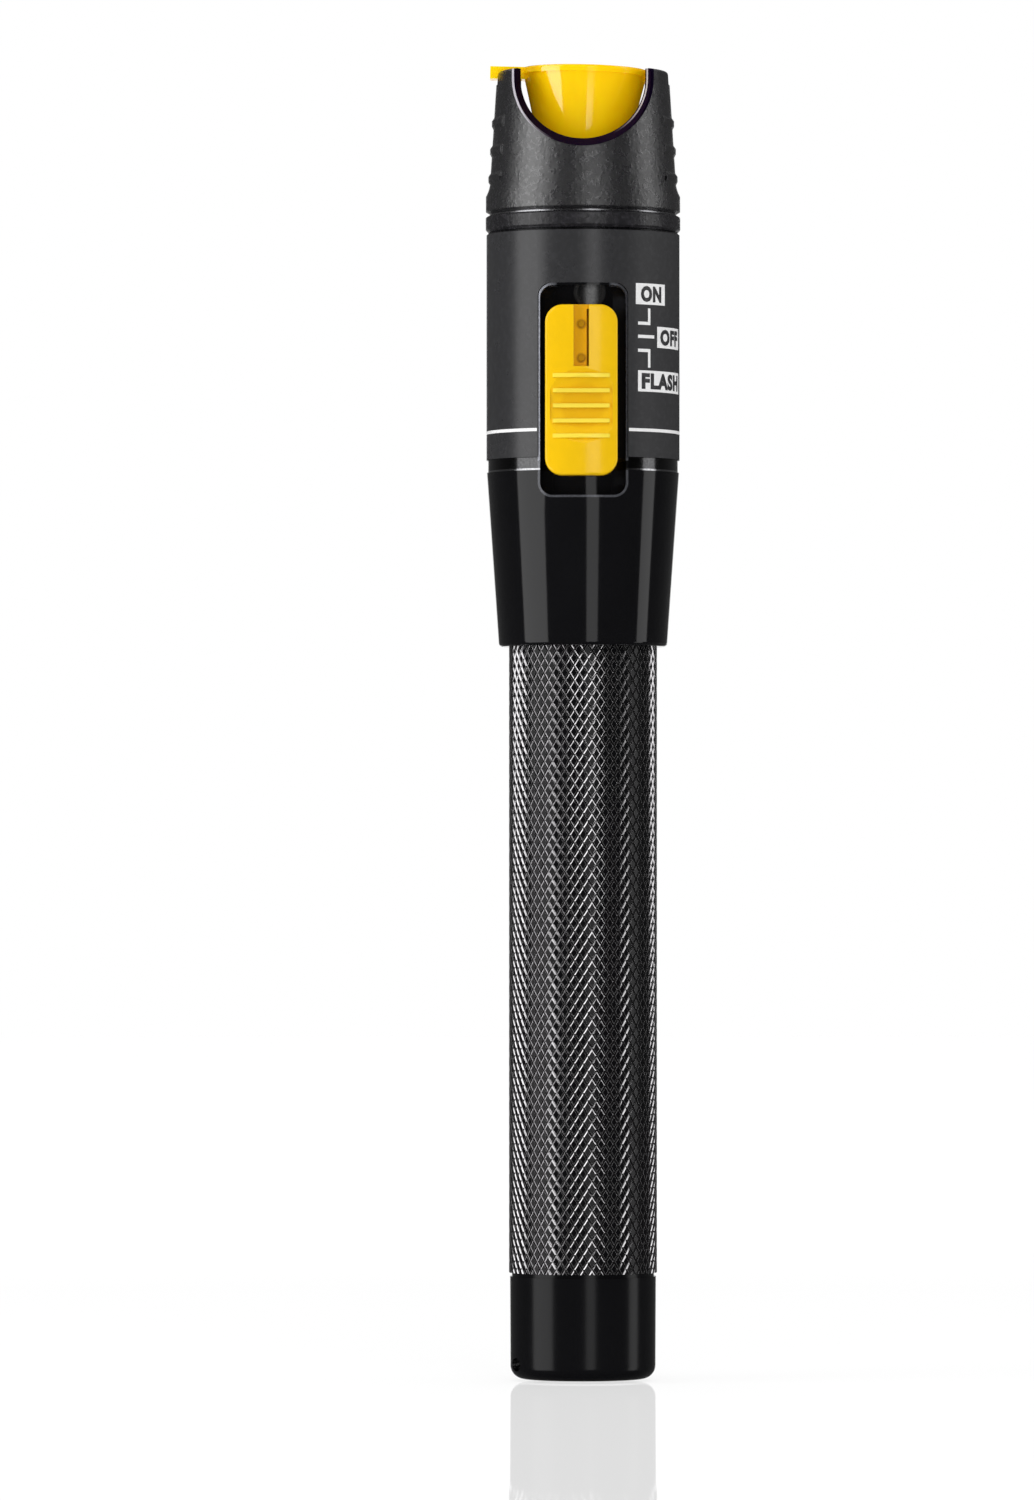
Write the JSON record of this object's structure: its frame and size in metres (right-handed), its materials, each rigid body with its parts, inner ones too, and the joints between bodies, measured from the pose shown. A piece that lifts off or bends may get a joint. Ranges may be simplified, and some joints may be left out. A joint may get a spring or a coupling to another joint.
{
  "type": "visual fault locator",
  "caption": "Pen-type red laser for tracing faults in optical fibre: ferrule port under a hinged cap, slide switch, knurled battery tube and screwed tail cap.",
  "frame": {"origin": "centre of the tail cap's flat end", "axes": "+Z along the pen towards the ferrule port, -Y towards the slide switch, +X towards the cap's hinge pin"},
  "size_m": [0.026, 0.0264, 0.1753],
  "materials": {
    "head_plastic": "fine grain, matt",
    "cap_plastic": "gloss",
    "slider_plastic": "satin",
    "ring_metal": "black, satin",
    "body_metal": "black, gloss",
    "tube_metal": "black, knurled",
    "tail_metal": "black, gloss",
    "label_film": "printed, satin",
    "port_metal": "nickel plated, bright",
    "zirconia": "polished",
    "steel": "bright",
    "brass": "turned",
    "lens_glass": "clear",
    "cell_jacket": "printed jacket",
    "carrier_plastic": "moulded",
    "board": "solder mask",
    "chip": "moulded",
    "seal_rubber": "matt"
  },
  "bodies": {
    "pen": {"battery_rear": "cell_jacket", "battery_front": "cell_jacket", "front_contact": "brass", "contact_holder": "carrier_plastic", "battery_tube": "tube_metal", "front_body": "body_metal", "label": "label_film", "lock_ring": "ring_metal", "switch_case": "steel", "chassis": "carrier_plastic", "circuit_board": "board", "board_screws": "steel", "driver_chip": "chip", "board_parts": "chip", "laser_barrel": "brass", "laser_diode": "brass", "laser_lens": "lens_glass", "laser_set_screws": "steel", "ferrule_holder": "port_metal", "ceramic_sleeve": "zirconia", "head": "head_plastic", "hinge_pin": "steel"},
    "cap": {"dust_cap": "cap_plastic"},
    "slider": {"switch_button": "slider_plastic", "switch_lever": "carrier_plastic"},
    "tail_seal": {"tail_o_ring": "seal_rubber"},
    "tail": {"tail_cap": "tail_metal", "tail_spring": "steel"}
  },
  "joints": [
    {"name": "dust_cap_hinge", "type": "hinge", "parent": "pen", "child": "cap", "pos_m": [0.0102, 0, 0.17392], "axis": [0, 1, 0], "range_deg": [-1.4, 168]},
    {"name": "switch_slide", "type": "slide", "parent": "pen", "child": "slider", "axis": [0, 0, 1], "range_m": [-0.0018, 0.0018]},
    {"name": "tail_cap_travel", "type": "slide", "parent": "pen", "child": "tail_seal", "axis": [0, 0, -1], "range_m": [0, 0.008]},
    {"name": "tail_cap_turn", "type": "hinge", "parent": "tail_seal", "child": "tail", "pos_m": [0, 0, 0], "axis": [0, 0, -1], "range_deg": [0, 2880]}
  ],
  "couplings": [
    {"joint": "tail_cap_travel", "follows": "tail_cap_turn", "m_per_rad": 0.00015915}
  ]
}
